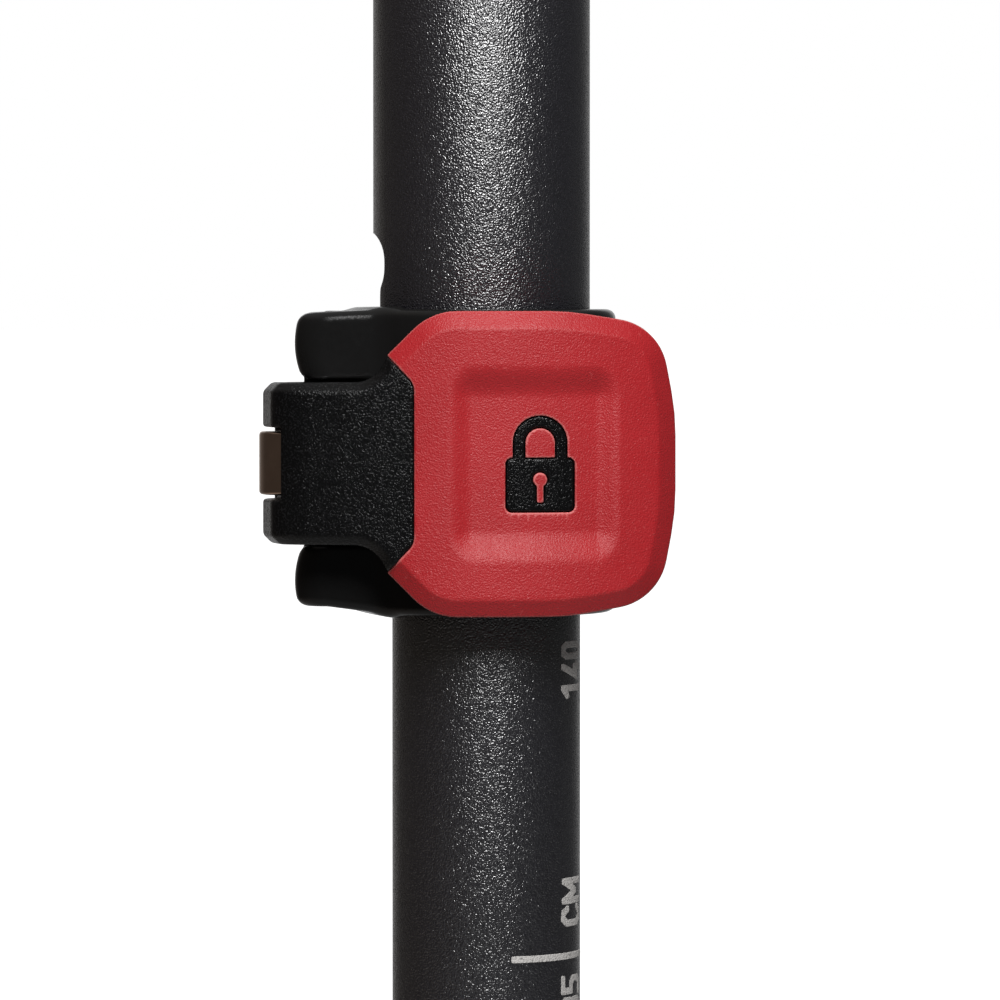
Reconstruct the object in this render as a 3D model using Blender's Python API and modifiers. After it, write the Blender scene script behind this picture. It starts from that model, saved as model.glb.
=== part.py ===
"""Lever clamp of a telescoping trekking pole, with the two tube ends that it joins.

Metres, +Z up. The origin is on the upper tube's axis at the collar's mid height. The front, with
the thumb pad, faces -Y, and the collar's split and the lever's pivot are at -X.
"""

import math

import bmesh
import bpy
from mathutils import Vector

MM = 0.001
GAP = 0.3 * MM  # between neighbouring solids
FINE_GAP = 0.2 * MM  # between round faces on one axis
ROUND_SIDES = 64
SMALL_SIDES = 32
CHORD_ERROR = 0.025 * MM  # between an outline's arc and its straight steps
MARGIN = 2 * MM  # how far a cutter reaches past what it cuts
TINY = 0.01 * MM

# Tubes
TUBE_TOP = 44 * MM
TUBE_BOTTOM = -49.3 * MM
UPPER_RADIUS = 8.1 * MM
UPPER_WALL = 0.53 * MM
SLOT_WIDTH = 5.9 * MM
RELIEF_WIDTH = 7.39 * MM
RELIEF_HEIGHT = 4.75 * MM
RELIEF_MIDDLE = 14.61 * MM
LOWER_RADIUS = 7.04 * MM
LOWER_WALL = 0.66 * MM
LOWER_OFFSET = 0.35 * MM  # the clamp presses the lower tube towards +X
LOWER_TOP = 19.36 * MM
PLUG_STEM = 7.04 * MM
PLUG_FLANGE = 1.06 * MM
PLUG_FLANGE_STEP = 0.35 * MM  # from the tube's outside in to the flange's rim
PLUG_GROOVE = 2.46 * MM
PLUG_GROOVE_DEPTH = 0.53 * MM
RING_SPLIT = 1.23 * MM

# Collar
COLLAR_RADIUS = 10.03 * MM
COLLAR_HALF = 11.31 * MM
COLLAR_LIP = 0.97 * MM
SPLIT_HALF = 0.88 * MM
EAR_LEFT = -13.9 * MM
EAR_TOP = 11 * MM
EAR_FOOT = -10.6 * MM
EAR_ROOT_TOP = 11.26 * MM  # the ears' edges spread a little towards the collar
EAR_ROOT_FOOT = -11.18 * MM
EAR_CORNER = 1.06 * MM
REAR_EAR_LEFT = -12.23 * MM
EAR_FRONT = -7.04 * MM
EAR_BACK = 4.4 * MM
SEAT_LEFT = -15.4 * MM
SEAT_HALF = 5.63 * MM
SEAT_BACK = 5.28 * MM
SEAT_CORNER = 0.88 * MM
RECESS_HALF = 6.16 * MM
PLATE_THICKNESS = 0.53 * MM
PLATE_RIGHT = -10.03 * MM
PLATE_CORNER = 0.53 * MM
PLATE_SLOT_HALF = 2.55 * MM  # the bolt's eye dips into this slot when the lever is open

# Lever: a cam fork on the left, an arm across the collar and a plate under the thumb pad
PIVOT = Vector((-12.85 * MM, -7.74 * MM))
CAM_CLOSED = 3.78 * MM
CAM_OPEN = 3.17 * MM
CAM_FIRST = 30  # degrees from +X where the cam's round face starts
CAM_STEP = 5
SWING = 100  # degrees from closed to open
HUB_HALF = 5.94 * MM
HUB_CORNER = Vector((-15.14 * MM, -11.62 * MM))
HUB_LEFT = -15.49 * MM
HUB_CHAMFER_X = 0.88 * MM
HUB_CHAMFER_Z = 0.75 * MM
HUB_BULGE = 0.31 * MM  # of the hub's front wall
FORK_HALF = 2.64 * MM
FLARE_X = -7.92 * MM  # where the arm widens towards the pad
FLARE_ROUND = 2.46 * MM
FLARE_TIP = Vector((-7 * MM, 7.7 * MM))
ARC_CENTRE = Vector((-0.44 * MM, 10.47 * MM))  # of the thumb pad's curved faces
ARM_FIRST = 258.9  # degrees round the arc's centre where the arm's front starts
ARM_LAST = 305.2
ARM_BACK_FIRST = 249
CORE_FRONT = 23.76 * MM
CORE_BACK = 20.9 * MM
CORE_INSET = 0.13 * MM  # of the black tips, inside the pad's diagonal edges

# Thumb pad
PAD_OUTER = 23.94 * MM
PAD_INNER = 22.75 * MM
PAD_BACK = 21.25 * MM
PAD_HALF = 11.19 * MM
PAD_RIGHT = 14.34 * MM
PAD_WALL = 1.06 * MM
BORDER_X = -4.88 * MM
BORDER_HALF = 5.85 * MM
BORDER_ROUND = 1.3 * MM
TIP_X = -6.82 * MM
TIP_Z = 7.88 * MM
SHOULDER_X = -3.61 * MM  # where the diagonal edge meets the top edge
SHOULDER_ROUND = 4.58 * MM
CROWN_X = 6.34 * MM
CROWN_ROUND = 17.6 * MM  # of the nearly straight top and right edges
CORNER_X = 1.23 * MM  # in from the right edge
CORNER_Z = 1.07 * MM  # in from the top edge
CORNER_ROUND = 4.22 * MM
SIDE_Z = 3.7 * MM
WALL_START = 2.82 * MM  # along the pad's diagonal edge, from its tip
RIM_WIDE = 1.28 * MM  # chamfer round the pad's face
RIM_DEEP = 0.75 * MM
DISH_LEFT = -2.29 * MM
DISH_RIGHT = 10.21 * MM
DISH_HALF = 7.22 * MM
DISH_CORNER = 2.29 * MM
DISH_SLOPE = 1.94 * MM
DISH_DEPTH = 0.75 * MM
BEND_STEP = 1.76 * MM  # between the strips that a curved plate is bent in
SLAB_FIRST = 235  # degrees round the arc's centre, well past the pad's two sides
SLAB_LAST = 315

# Swing bolt, pin and nut
PIN_RADIUS = 1.32 * MM
EYE_RADIUS = 3.52 * MM
EYE_HALF = 2.33 * MM
BOLT_RADIUS = 1.76 * MM
BOLT_END = 11.09 * MM
BOLT_TIP = 0.35 * MM
WASHER_RADIUS = 3.17 * MM
WASHER_THICKNESS = 0.7 * MM
NUT_FLATS = 6.16 * MM
NUT_HEIGHT = 3.7 * MM
LOCK_RING_HEIGHT = 1.06 * MM
LOCK_WELL = 0.88 * MM  # the well's wall stands this far out from the bolt


def empty_scene():
    """Remove what the file opened with."""
    for thing in list(bpy.data.objects):
        bpy.data.objects.remove(thing, do_unlink=True)


def new_collection(name):
    collection = bpy.data.collections.new(name)
    bpy.context.scene.collection.children.link(collection)
    return collection


def principled(name, color, roughness, metallic=0.0):
    """A plain Principled material."""
    material = bpy.data.materials.new(name)
    material.use_nodes = True
    shader = material.node_tree.nodes["Principled BSDF"]
    shader.inputs["Base Color"].default_value = (*color, 1)
    shader.inputs["Roughness"].default_value = roughness
    shader.inputs["Metallic"].default_value = metallic
    return material


def rounded(corners):
    """Outline points of a polygon whose corners are (x, y, radius)."""
    points = []
    for index, (x, y, radius) in enumerate(corners):
        corner = Vector((x, y))
        if radius == 0:
            points.append(corner)
            continue
        back = (Vector(corners[index - 1][:2]) - corner).normalized()
        ahead = (Vector(corners[(index + 1) % len(corners)][:2]) - corner).normalized()
        half = back.angle(ahead) / 2
        centre = corner + (back + ahead).normalized() * radius / math.sin(half)
        start = corner + back * radius / math.tan(half) - centre
        end = corner + ahead * radius / math.tan(half) - centre
        sweep = math.atan2(start.x * end.y - start.y * end.x, start.dot(end))
        points += arc_from(centre, start, sweep)
    return points


def arc_from(centre, start, sweep):
    """Points turning about centre from centre + start through sweep."""
    step = 2 * math.acos(1 - CHORD_ERROR / max(start.length, 2 * CHORD_ERROR))
    count = max(1, math.ceil(abs(sweep) / step))
    turns = [sweep * step / count for step in range(count + 1)]
    return [
        centre
        + Vector(
            (
                start.x * math.cos(turn) - start.y * math.sin(turn),
                start.x * math.sin(turn) + start.y * math.cos(turn),
            )
        )
        for turn in turns
    ]


def arc(centre, radius, first, last):
    """Points on a circle between two angles in degrees, counted from +X."""
    angle = math.radians(first)
    start = Vector((radius * math.cos(angle), radius * math.sin(angle)))
    return arc_from(centre, start, math.radians(last - first))


def rectangle(left, low, right, high, radius=0.0):
    corners = [(left, low), (right, low), (right, high), (left, high)]
    return rounded([(x, y, radius) for x, y in corners])


def extruded(name, outline, low, high, along="Z"):
    """A flat outline made solid from low to high along Z, or along Y for an outline in X and Z."""
    curve = bpy.data.curves.new(name, "CURVE")
    curve.dimensions = "2D"
    curve.fill_mode = "BOTH"
    curve.extrude = (high - low) / 2
    spline = curve.splines.new("POLY")
    spline.points.add(len(outline) - 1)
    for point, (x, y) in zip(spline.points, outline):
        point.co = (x, y, 0, 1)
    spline.use_cyclic_u = True
    drawing = bpy.data.objects.new(name + "_outline", curve)
    bpy.context.scene.collection.objects.link(drawing)
    if along == "Z":
        drawing.location.z = (low + high) / 2
    else:
        drawing.location.y = (low + high) / 2
        drawing.rotation_euler.x = math.pi / 2
    bpy.context.view_layer.update()
    evaluated = drawing.evaluated_get(bpy.context.evaluated_depsgraph_get())
    mesh = bpy.data.meshes.new_from_object(evaluated)
    mesh.name = name
    weld = bmesh.new()
    weld.from_mesh(mesh)
    bmesh.ops.remove_doubles(weld, verts=weld.verts, dist=1e-6)
    bmesh.ops.recalc_face_normals(weld, faces=weld.faces)
    weld.to_mesh(mesh)
    weld.free()
    solid = bpy.data.objects.new(name, mesh)
    solid.matrix_world = drawing.matrix_world
    bpy.data.objects.remove(drawing)
    return solid


def turned(name, profile, sides, closed):
    """A profile of (radius, height) points turned about Z; it runs down its outer side."""
    mesh = bpy.data.meshes.new(name)
    edges = [(index, index + 1) for index in range(len(profile) - 1)]
    if closed:
        edges.append((len(profile) - 1, 0))
    mesh.from_pydata([(radius, 0, height) for radius, height in profile], edges, [])
    solid = bpy.data.objects.new(name, mesh)
    screw = solid.modifiers.new("turn", "SCREW")
    screw.steps = screw.render_steps = sides
    screw.use_merge_vertices = True
    screw.merge_threshold = 1e-6
    return solid


def tube(name, outer, inner, low, high, sides=ROUND_SIDES):
    return turned(name, [(outer, high), (outer, low), (inner, low), (inner, high)], sides, True)


def rod(name, radius, low, high, sides=SMALL_SIDES):
    return turned(name, [(0, high), (radius, high), (radius, low), (0, low)], sides, False)


def box(name, long, wide, tall):
    """A block centred on its origin."""
    mesh = bpy.data.meshes.new(name)
    shape = bmesh.new()
    bmesh.ops.create_cube(shape, size=1)
    bmesh.ops.scale(shape, vec=(long, wide, tall), verts=shape.verts)
    shape.to_mesh(mesh)
    shape.free()
    return bpy.data.objects.new(name, mesh)


def block(name, low, high):
    """A block from its lowest to its highest corner."""
    size = [b - a for a, b in zip(low, high)]
    solid = box(name, *size)
    solid.location = [(a + b) / 2 for a, b in zip(low, high)]
    return solid


def combine(solid, operation, *tools):
    """Join, cut or intersect solid with each tool; the tools go with the cutters."""
    for tool in tools:
        if tool.name not in cutters.objects:
            cutters.objects.link(tool)
        tool.hide_render = True
        tool.display_type = "WIRE"
        boolean = solid.modifiers.new(operation.lower(), "BOOLEAN")
        boolean.operation = operation
        boolean.object = tool
    return solid


def finish(solid, material, parent=None):
    """Put a finished piece in the clamp's collection, on its joint's empty."""
    clamp.objects.link(solid)
    solid.data.materials.append(material)
    solid.data.shade_smooth()
    solid.data.set_sharp_from_angle(angle=math.radians(35))
    if parent:
        bpy.context.view_layer.update()
        solid.parent = parent
        solid.matrix_parent_inverse = parent.matrix_world.inverted()
    return solid


def joint_empty(name, place, parent=None):
    empty = bpy.data.objects.new(name, None)
    empty.empty_display_size = 5 * MM
    empty.location = place
    clamp.objects.link(empty)
    if parent:
        bpy.context.view_layer.update()
        empty.parent = parent
        empty.matrix_parent_inverse = parent.matrix_world.inverted()
    return empty


def moved(solid, x=0.0, y=0.0, z=0.0):
    solid.location = (x, y, z)
    return solid


def at_pivot(x, y):
    return PIVOT + Vector((x, y))


# ---------------------------------------------------------------------------- tubes


def make_upper_tube():
    """Upper tube, slotted on the left from its lower end up to a wider cross relief."""
    end = -COLLAR_HALF + COLLAR_LIP + GAP
    solid = tube("upper_tube", UPPER_RADIUS, UPPER_RADIUS - UPPER_WALL, end, TUBE_TOP)
    reach = 2 * UPPER_RADIUS
    slot_low = (-reach, -SLOT_WIDTH / 2, end - MARGIN)
    slot = block("tube_slot", slot_low, (0, SLOT_WIDTH / 2, RELIEF_MIDDLE))
    half = RELIEF_WIDTH / 2
    low, high = RELIEF_MIDDLE - RELIEF_HEIGHT / 2, RELIEF_MIDDLE + RELIEF_HEIGHT / 2
    outline = rectangle(-half, low, half, high, RELIEF_HEIGHT / 2 - TINY)
    relief = extruded("tube_relief", outline, 0, reach, along="Y")
    relief.rotation_euler.z = math.pi / 2
    relief.location = (-reach / 2, 0, 0)
    return combine(solid, "DIFFERENCE", slot, relief)


def make_lower_tube():
    inner = LOWER_RADIUS - LOWER_WALL
    solid = tube("lower_tube", LOWER_RADIUS, inner, TUBE_BOTTOM, LOWER_TOP)
    return moved(solid, LOWER_OFFSET)


def make_tube_plug():
    """Moulded plug: a stem in the lower tube, a flange on its end, and a groove for the ring."""
    stem = LOWER_RADIUS - LOWER_WALL - FINE_GAP
    seat = LOWER_TOP + GAP
    neck = seat + PLUG_FLANGE
    cap = neck + PLUG_GROOVE
    top = cap + PLUG_FLANGE
    rim = LOWER_RADIUS - PLUG_FLANGE_STEP
    groove = stem - PLUG_GROOVE_DEPTH
    profile = [(0, top), (rim, top), (rim, cap), (groove, cap), (groove, neck), (rim, neck)]
    profile += [(rim, seat), (stem, seat), (stem, LOWER_TOP - PLUG_STEM), (0, LOWER_TOP - PLUG_STEM)]
    return moved(turned("tube_plug", profile, ROUND_SIDES, False), LOWER_OFFSET)


def make_guide_ring():
    """Split nylon ring in the plug's groove; it runs in the upper tube."""
    low = LOWER_TOP + GAP + PLUG_FLANGE + FINE_GAP
    groove = LOWER_RADIUS - LOWER_WALL - FINE_GAP - PLUG_GROOVE_DEPTH
    inner = groove + GAP
    ring = tube("guide_ring", LOWER_RADIUS, inner, low, low + PLUG_GROOVE - 2 * FINE_GAP)
    moved(ring, LOWER_OFFSET)
    cut_low = (LOWER_OFFSET, -RING_SPLIT / 2, low - MARGIN)
    cut_high = (2 * LOWER_RADIUS, RING_SPLIT / 2, low + PLUG_GROOVE + MARGIN)
    return combine(ring, "DIFFERENCE", block("ring_split", cut_low, cut_high))


# ---------------------------------------------------------------------------- collar


def ear_outline(left):
    corners = [(left, EAR_FOOT, EAR_CORNER), (-UPPER_RADIUS, EAR_ROOT_FOOT, 0)]
    return rounded(corners + [(-UPPER_RADIUS, EAR_ROOT_TOP, 0), (left, EAR_TOP, EAR_CORNER)])


def make_collar():
    """Split collar with two ears on the left; the front ear is recessed for the lever's hub."""
    ears = extruded("collar_ears", ear_outline(EAR_LEFT), EAR_FRONT, 0, along="Y")
    rear = extruded("collar_rear_ear", ear_outline(REAR_EAR_LEFT), -SPLIT_HALF, EAR_BACK, along="Y")
    seat_right = -(UPPER_RADIUS + COLLAR_RADIUS) / 2
    seat_outline = rectangle(SEAT_LEFT, -SEAT_HALF, seat_right, SEAT_HALF, SEAT_CORNER)
    seat = extruded("collar_seat", seat_outline, EAR_FRONT + MARGIN, SEAT_BACK, along="Y")
    recess = block(
        "collar_recess",
        (2 * EAR_LEFT, 2 * EAR_FRONT, -RECESS_HALF),
        (0, saddle_y() + PLATE_THICKNESS + GAP, RECESS_HALF),
    )
    slot_half = BOLT_RADIUS + GAP
    slot = block(
        "collar_bolt_slot",
        (2 * EAR_LEFT, 2 * EAR_FRONT, -slot_half),
        (PIVOT.x + slot_half, 2 * SEAT_BACK, slot_half),
    )
    combine(ears, "UNION", rear, seat)
    combine(ears, "DIFFERENCE", recess, slot)

    lip = LOWER_RADIUS + LOWER_OFFSET + GAP
    wide = UPPER_RADIUS + FINE_GAP
    shelf = -COLLAR_HALF + COLLAR_LIP
    tall = COLLAR_HALF + MARGIN
    profile = [(0, tall), (wide, tall), (wide, shelf), (lip, shelf), (lip, -tall), (0, -tall)]
    bore = turned("collar_bore", profile, ROUND_SIDES, False)
    split = block("collar_gap", (2 * EAR_LEFT, -SPLIT_HALF, -tall), (0, SPLIT_HALF, tall))
    solid = rod("clamp_collar", COLLAR_RADIUS, -COLLAR_HALF, COLLAR_HALF, ROUND_SIDES)
    combine(solid, "UNION", ears)
    return combine(solid, "DIFFERENCE", bore, split)


def saddle_y():
    """The wear plate's front face, just clear of the closed cam."""
    return PIVOT.y + CAM_CLOSED + FINE_GAP


def make_wear_plate():
    """Steel plate between the cam and the front ear, with an open slot for the bolt."""
    left = SEAT_LEFT + FINE_GAP
    slot_end = PIVOT.x + BOLT_RADIUS + GAP
    upper = [(left, SEAT_HALF, PLATE_CORNER), (left, PLATE_SLOT_HALF, 0)]
    upper += [(slot_end, PLATE_SLOT_HALF, 0)]
    lower = [(x, -z, radius) for x, z, radius in reversed(upper)]
    outline = rounded(upper + lower + [(PLATE_RIGHT, -SEAT_HALF, 0), (PLATE_RIGHT, SEAT_HALF, 0)])
    return extruded("wear_plate", outline, saddle_y(), saddle_y() + PLATE_THICKNESS, along="Y")


# ---------------------------------------------------------------------------- lever


def cam_radius(angle):
    """The cam's radius in the closed lever, by the angle from +X in degrees."""
    open_share = min(max((angle - 90) / SWING, 0), 1)
    return CAM_CLOSED + (CAM_OPEN - CAM_CLOSED) * open_share


def lever_plan():
    """The lever seen from above: cam, left wall, front face, thumb plate and inner face."""
    cam = []
    for angle in range(CAM_FIRST, 90 + SWING + 1, CAM_STEP):
        radius = cam_radius(angle)
        turn = math.radians(angle)
        cam.append(at_pivot(radius * math.cos(turn), radius * math.sin(turn)))
    arm = arc(ARC_CENTRE, CORE_FRONT, ARM_FIRST, ARM_LAST)
    inner = arc(ARC_CENTRE, CORE_BACK, ARM_LAST, ARM_BACK_FIRST)
    bulge = (HUB_CORNER + arm[0]) / 2 - Vector((0, HUB_BULGE))
    return cam + [HUB_CORNER, bulge] + arm + inner


def pad_corners(inset):
    """The pad's rounded outline from its upper left tip round to the lower one, drawn in by inset."""
    diagonal = inset * math.sqrt(2)
    top = PAD_HALF - inset
    right = PAD_RIGHT - inset
    upper = [
        (TIP_X, TIP_Z - diagonal, 0),
        (SHOULDER_X + diagonal - inset, top, SHOULDER_ROUND - inset),
        (CROWN_X, top, CROWN_ROUND),
        (right - CORNER_X, top - CORNER_Z, CORNER_ROUND - inset),
        (right, SIDE_Z, CROWN_ROUND),
    ]
    return upper + [(x, -z, radius) for x, z, radius in reversed(upper)]


def diagonal_point(along, inset):
    """A square corner on the pad's upper diagonal edge, counted from its tip."""
    x = TIP_X + (along + inset) / math.sqrt(2)
    z = TIP_Z + (along - inset) / math.sqrt(2)
    return (x, z, 0)


def arc_slab(name, inner, outer):
    """The space between two faces concentric with the pad, taller than the lever."""
    tall = 2 * PAD_HALF
    outline = arc(ARC_CENTRE, outer, SLAB_FIRST, SLAB_LAST)
    outline += arc(ARC_CENTRE, inner, SLAB_LAST, SLAB_FIRST)
    return extruded(name, outline, -tall, tall)


def make_lever_body():
    """Black lever: the forked cam hub, the arm and the plate that carries the pad."""
    solid = extruded("lever_body", lever_plan(), -PAD_HALF, PAD_HALF)
    plate = pad_corners(PAD_WALL + GAP)[1:-1]
    upper = [(2 * EAR_LEFT, HUB_HALF - HUB_CHAMFER_Z, 0), (HUB_LEFT, HUB_HALF - HUB_CHAMFER_Z, 0)]
    upper += [(HUB_LEFT + HUB_CHAMFER_X, HUB_HALF, 0), (FLARE_X, HUB_HALF, FLARE_ROUND)]
    upper += [(*FLARE_TIP, 0)]
    before_wall = WALL_START - GAP
    upper += [diagonal_point(before_wall, CORE_INSET)]
    upper += [diagonal_point(before_wall, PAD_WALL + GAP)]
    lower = [(x, -z, radius) for x, z, radius in reversed(upper)]
    front = extruded("lever_front", rounded(upper + plate + lower), 3 * EAR_LEFT, 0, along="Y")
    combine(solid, "INTERSECT", front)

    far = 2 * PAD_HALF
    border = [(TIP_X - GAP, far), (TIP_X - GAP, TIP_Z), (BORDER_X - GAP, HUB_HALF)]
    border += [(x, -z) for x, z in reversed(border)] + [(far, -far), (far, far)]
    seat = extruded("lever_pad_seat", border, 3 * EAR_LEFT, 0, along="Y")
    combine(seat, "INTERSECT", arc_slab("lever_pad_space", PAD_INNER - GAP, PAD_OUTER + MARGIN))
    combine(solid, "DIFFERENCE", seat)

    slot = extruded("lever_fork_slot", fork_outline(), -FORK_HALF, FORK_HALF)
    pin_bore = rod("lever_pin_bore", PIN_RADIUS + FINE_GAP, -far, far)
    return combine(solid, "DIFFERENCE", slot, moved(pin_bore, PIVOT.x, PIVOT.y))


def fork_outline():
    """Room in the hub for the eye, and for the shank from the closed lever to the open one."""
    room = EYE_RADIUS + GAP
    reach = BOLT_RADIUS + GAP
    far = 10 * MM
    opening = math.degrees(math.acos(reach / room))
    open_way = math.radians(90 + SWING)
    side = Vector((-math.sin(open_way), math.cos(open_way))) * reach
    way = Vector((math.cos(open_way), math.sin(open_way))) * far
    round_eye = arc(PIVOT, room, opening, 90 + SWING + opening - 360)
    return [at_pivot(reach, far)] + round_eye + [PIVOT + side + way, at_pivot(-far, far)]


def curved_plate(name, outline, front, back, rim, wide, deep):
    """A plate below the pad's curved face, between two depths counted from it.

    rim picks the outline's edges, by their ends, whose front or back corner is cut away: wide
    along the plate and deep into it."""
    shape = bmesh.new()
    layers = [[shape.verts.new((x, depth, z)) for x, z in outline] for depth in (front, back)]
    shape.faces.new(layers[0])
    shape.faces.new(list(reversed(layers[1])))
    for index in range(len(outline)):
        fore, aft = (layer[index - 1] for layer in layers)
        shape.faces.new([layers[0][index], fore, aft, layers[1][index]])
    bmesh.ops.recalc_face_normals(shape, faces=shape.faces)
    edges = [edge for edge in shape.edges if rim(*(vert.co for vert in edge.verts))]
    sunk = edges[0].verts[0].co.y
    inward = 1 if sunk == front else -1
    bmesh.ops.bevel(
        shape, geom=edges, offset=wide, offset_type="OFFSET", segments=1, profile=0.5, affect="EDGES"
    )
    for vert in shape.verts:
        if abs(vert.co.y - sunk - inward * wide) < TINY:
            vert.co.y = sunk + inward * deep
    place = min(x for x, _ in outline) + BEND_STEP / 2
    while place < max(x for x, _ in outline):
        everything = list(shape.verts) + list(shape.edges) + list(shape.faces)
        bmesh.ops.bisect_plane(shape, geom=everything, plane_co=(place, 0, 0), plane_no=(1, 0, 0))
        place += BEND_STEP
    for vert in shape.verts:
        radius = PAD_OUTER - vert.co.y
        vert.co.y = ARC_CENTRE.y - math.sqrt(radius**2 - (vert.co.x - ARC_CENTRE.x) ** 2)
    mesh = bpy.data.meshes.new(name)
    shape.to_mesh(mesh)
    shape.free()
    return bpy.data.objects.new(name, mesh)


def make_lever_pad():
    """Red thumb pad: a shallow cap over the lever's plate, its rim chamfered and its face dished."""

    def rim(start, end):
        """Whether a front edge lies to the right of the border with the black arm."""
        reach = max(start.x + abs(start.z), end.x + abs(end.z))
        return start.y == end.y == 0 and reach > TIP_X + TIP_Z + TINY

    left = [(BORDER_X, -BORDER_HALF, BORDER_ROUND), (BORDER_X, BORDER_HALF, BORDER_ROUND)]
    outline = rounded(pad_corners(0) + left)
    solid = curved_plate("lever_pad", outline, 0, PAD_OUTER - PAD_BACK, rim, RIM_WIDE, RIM_DEEP)
    start = [diagonal_point(WALL_START, -MARGIN), diagonal_point(WALL_START, PAD_WALL)]
    end = [(x, -z, radius) for x, z, radius in reversed(start)]
    left = [(2 * TIP_X, -PAD_HALF, 0), (2 * TIP_X, PAD_HALF, 0)]
    pocket_outline = rounded(start + pad_corners(PAD_WALL)[1:-1] + end + left)
    pocket = extruded("pad_pocket", pocket_outline, 3 * EAR_LEFT, 0, along="Y")
    combine(pocket, "INTERSECT", arc_slab("pad_pocket_space", PAD_BACK - MARGIN, PAD_INNER))

    def floor_edge(start, end):
        return min(start.y, end.y) > 0

    dish_outline = rectangle(DISH_LEFT, -DISH_HALF, DISH_RIGHT, DISH_HALF, DISH_CORNER)
    above = DISH_DEPTH - 2 * DISH_SLOPE
    dish = curved_plate(
        "pad_dish", dish_outline, above, DISH_DEPTH, floor_edge, DISH_SLOPE, DISH_DEPTH
    )
    return combine(solid, "DIFFERENCE", pocket, dish)


def make_pivot_pin():
    pin = rod("pivot_pin", PIN_RADIUS, -HUB_HALF + FINE_GAP, HUB_HALF - FINE_GAP)
    return moved(pin, PIVOT.x, PIVOT.y)


# ---------------------------------------------------------------------------- bolt and nut


def along_y(solid, height=0.0):
    """Lay a piece turned about Z on the bolt's axis, its top towards +Y."""
    solid.rotation_euler.x = -math.pi / 2
    solid.location = (PIVOT.x, height, 0)
    return solid


def make_swing_bolt():
    """Eye round the pivot pin, and a shank through both ears."""
    eye = moved(rod("swing_bolt", EYE_RADIUS, -EYE_HALF, EYE_HALF), PIVOT.x, PIVOT.y)
    profile = [(0, BOLT_END), (BOLT_RADIUS - BOLT_TIP, BOLT_END)]
    profile += [(BOLT_RADIUS, BOLT_END - BOLT_TIP)]
    profile += [(BOLT_RADIUS, PIVOT.y), (0, PIVOT.y)]
    shank = along_y(turned("bolt_shank", profile, SMALL_SIDES, False))
    combine(eye, "UNION", shank)
    hole = moved(rod("bolt_eye_hole", PIN_RADIUS + FINE_GAP, -HUB_HALF, HUB_HALF), PIVOT.x, PIVOT.y)
    return combine(eye, "DIFFERENCE", hole)


def make_nut_washer():
    low = SEAT_BACK + GAP
    inner = BOLT_RADIUS + FINE_GAP
    washer = tube("nut_washer", WASHER_RADIUS, inner, low, low + WASHER_THICKNESS, SMALL_SIDES)
    return along_y(washer)


def nut_foot():
    return SEAT_BACK + WASHER_THICKNESS + 2 * GAP


def make_tension_nut():
    """Hexagon nut with a collar that holds the locking ring."""
    hexagon = rod("tension_nut", NUT_FLATS / math.sqrt(3), 0, NUT_HEIGHT, 6)
    along_y(hexagon, nut_foot())
    hexagon.rotation_euler.y = math.radians(30)
    top = nut_foot() + NUT_HEIGHT
    well_foot = top - LOCK_RING_HEIGHT - GAP
    well = along_y(rod("nut_ring_well", BOLT_RADIUS + LOCK_WELL, well_foot, top + MARGIN))
    bore = along_y(rod("nut_bore", BOLT_RADIUS + FINE_GAP, 0, 2 * top))
    return combine(hexagon, "DIFFERENCE", well, bore)


def make_lock_ring():
    top = nut_foot() + NUT_HEIGHT
    outer = BOLT_RADIUS + LOCK_WELL - FINE_GAP
    ring = tube(
        "nut_lock_ring", outer, BOLT_RADIUS + FINE_GAP, top - LOCK_RING_HEIGHT, top, SMALL_SIDES
    )
    return along_y(ring)


empty_scene()
clamp = new_collection("pole lever clamp")
cutters = new_collection("cutters")

coated_tube = principled("coated aluminium", (0.016, 0.016, 0.018), 0.42, 0.2)
black_nylon = principled("black nylon", (0.008, 0.008, 0.008), 0.5)
black_grained = principled("grained black nylon", (0.01, 0.01, 0.01), 0.6)
red_nylon = principled("red nylon", (0.42, 0.02, 0.028), 0.45)
steel = principled("bright steel", (0.55, 0.55, 0.56), 0.3, 1)
dark_steel = principled("browned steel", (0.11, 0.085, 0.07), 0.38, 1)
white_nylon = principled("natural nylon", (0.7, 0.7, 0.66), 0.5)
grey_nylon = principled("grey nylon", (0.15, 0.15, 0.15), 0.5)

lower_slide = joint_empty("lower_slide_axis", (LOWER_OFFSET, 0, LOWER_TOP))
lower_turn = joint_empty("lower_turn_axis", (LOWER_OFFSET, 0, LOWER_TOP), lower_slide)
bolt_draw = joint_empty("bolt_draw_axis", (PIVOT.x, 0, 0))
lever_swing = joint_empty("lever_swing_axis", (PIVOT.x, PIVOT.y, 0), bolt_draw)
nut_turn = joint_empty("nut_turn_axis", (PIVOT.x, nut_foot(), 0), bolt_draw)

finish(make_upper_tube(), coated_tube)
finish(make_collar(), black_nylon)
finish(make_wear_plate(), steel)
finish(make_lower_tube(), coated_tube, lower_turn)
finish(make_tube_plug(), grey_nylon, lower_turn)
finish(make_guide_ring(), white_nylon, lower_slide)
finish(make_swing_bolt(), dark_steel, bolt_draw)
finish(make_nut_washer(), steel, bolt_draw)
finish(make_lever_body(), black_grained, lever_swing)
finish(make_lever_pad(), red_nylon, lever_swing)
finish(make_pivot_pin(), steel, lever_swing)
finish(make_tension_nut(), steel, nut_turn)
finish(make_lock_ring(), white_nylon, nut_turn)
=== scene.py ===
import math

import bmesh
import bpy
import numpy as np
from mathutils import Matrix, Vector


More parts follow.
